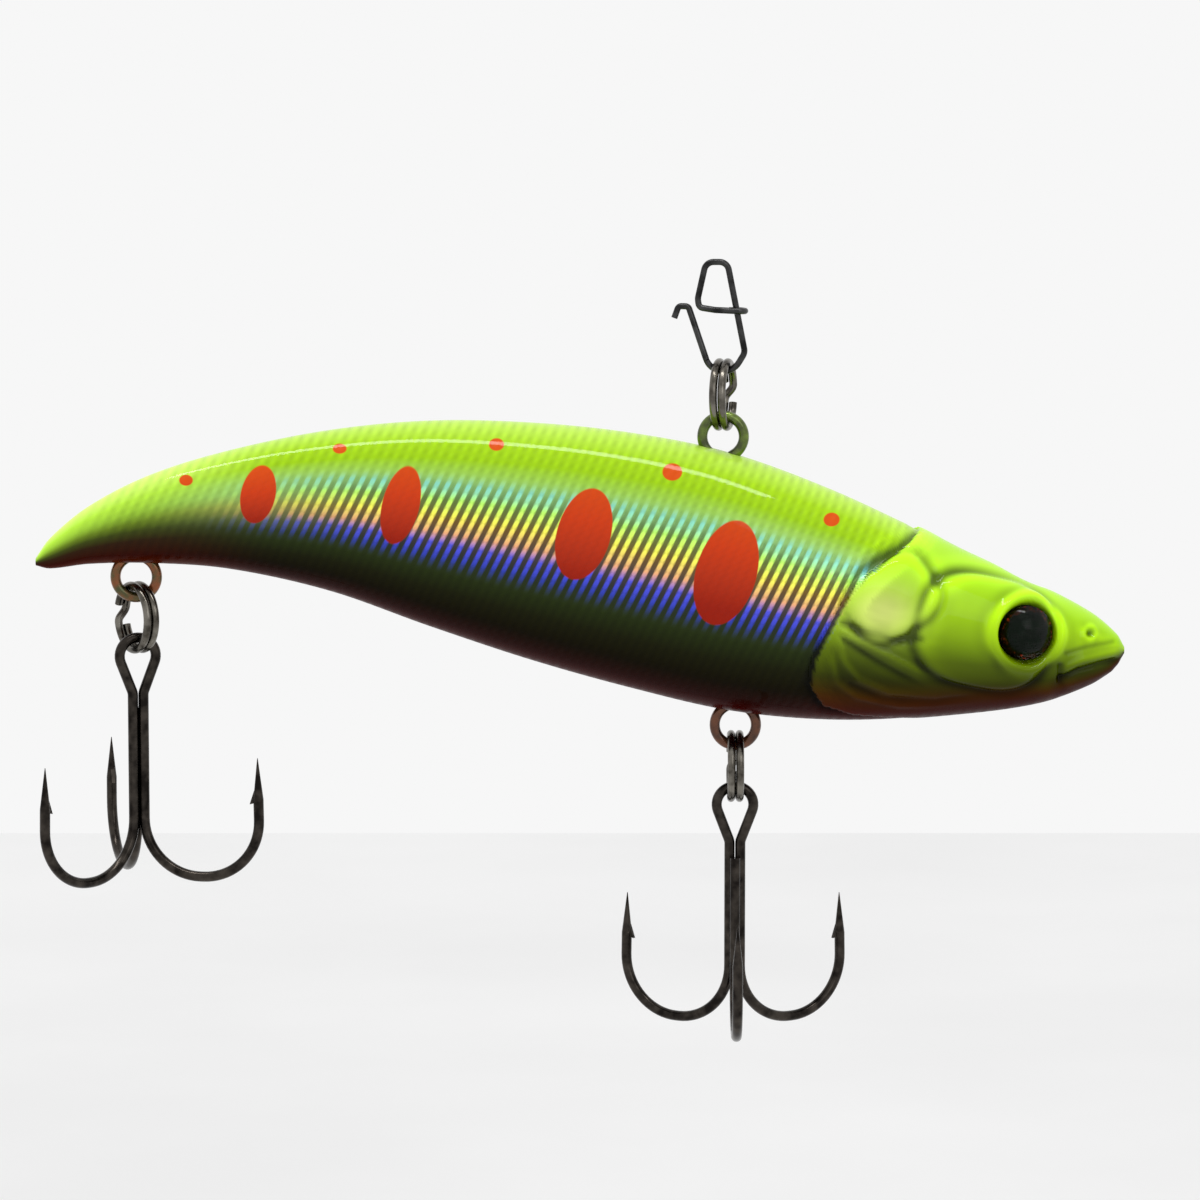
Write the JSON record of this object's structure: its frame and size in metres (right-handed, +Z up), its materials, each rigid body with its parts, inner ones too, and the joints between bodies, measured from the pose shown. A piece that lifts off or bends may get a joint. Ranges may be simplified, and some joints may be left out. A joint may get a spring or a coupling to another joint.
{
  "type": "crankbait lure",
  "caption": "Sinking lipless crankbait with a curved minnow body, rattles, belly and tail treble hooks on split rings, and an open wire line clip.",
  "frame": {"origin": "inner crown of the snap's line loop, where the line pulls", "axes": "+X to the nose, +Z up along the line, +Y to the lure's left; stored hanging in balance"},
  "size_m": [0.0946, 0.0223, 0.0674],
  "materials": {
    "painted_shell": "gloss foil and candy paint under clear lacquer",
    "cast_weight": "dull cast alloy",
    "eye_wire": "drawn wire with paint overspray",
    "steel_ball": "polished",
    "brass_ball": "polished",
    "eye_disc": "dark foil",
    "eye_lens": "clear gloss",
    "ring_steel": "nickel plated",
    "hook_steel": "black nickel",
    "snap_steel": "dark plated spring wire"
  },
  "bodies": {
    "snap": {"snap_body": "snap_steel"},
    "snap_gate": {"snap_gate": "snap_steel"},
    "line_ring": {"line_split_ring": "ring_steel"},
    "body": {"left_shell": "painted_shell", "right_shell": "painted_shell", "line_tie_eye": "eye_wire", "belly_eye": "eye_wire", "tail_eye": "eye_wire", "head_weight": "cast_weight", "rear_weight": "cast_weight", "left_fish_eye_disc": "eye_disc", "left_fish_eye_lens": "eye_lens", "right_fish_eye_disc": "eye_disc", "right_fish_eye_lens": "eye_lens"},
    "back_ball": {"back_rattle_ball": "steel_ball"},
    "head_ball": {"head_rattle_ball": "brass_ball"},
    "belly_ring": {"belly_split_ring": "ring_steel"},
    "belly_hook": {"belly_double_hook": "hook_steel", "belly_single_hook": "hook_steel"},
    "tail_ring": {"tail_split_ring": "ring_steel"},
    "tail_hook": {"tail_double_hook": "hook_steel", "tail_single_hook": "hook_steel"}
  },
  "joints": [
    {"name": "snap_gate_flex", "type": "hinge", "parent": "snap", "child": "snap_gate", "pos_m": [-0.00089, 0, -0.0081], "axis": [0, 1, 0], "range_deg": [-12, 12], "stiffness_Nm_per_rad": 0.02},
    {"name": "line_ring_roll", "type": "hinge", "parent": "snap", "child": "line_ring", "pos_m": [0.0006, 0, -0.01119], "axis": [0.9781, -0.2079, 0], "range_deg": [-45, 45]},
    {"name": "body_pitch", "type": "hinge", "parent": "line_ring", "child": "body", "pos_m": [0.0006, 0, -0.01484], "axis": [0, 1, 0], "range_deg": [-50, 36]},
    {"name": "belly_ring_swing", "type": "hinge", "parent": "body", "child": "belly_ring", "pos_m": [0.00174, 0, -0.04004], "axis": [0, 1, 0], "range_deg": [-45, 45]},
    {"name": "belly_hook_swing", "type": "hinge", "parent": "belly_ring", "child": "belly_hook", "pos_m": [0.00174, 0, -0.04369], "axis": [1, 0, 0], "range_deg": [-45, 45]},
    {"name": "tail_ring_swing", "type": "hinge", "parent": "body", "child": "tail_ring", "pos_m": [-0.05035, 0, -0.02706], "axis": [0, 1, 0], "range_deg": [-32, 60]},
    {"name": "tail_hook_swing", "type": "hinge", "parent": "tail_ring", "child": "tail_hook", "pos_m": [-0.05035, 0, -0.03062], "axis": [0.848, 0.5299, 0], "range_deg": [-45, 45]},
    {"name": "back_ball_roll", "type": "slide", "parent": "body", "child": "back_ball", "axis": [-0.9945, 0, 0.1045], "range_m": [0, 0.01527]},
    {"name": "head_ball_roll", "type": "slide", "parent": "body", "child": "head_ball", "axis": [-0.9336, 0, 0.3584], "range_m": [0, 0.01213]}
  ]
}
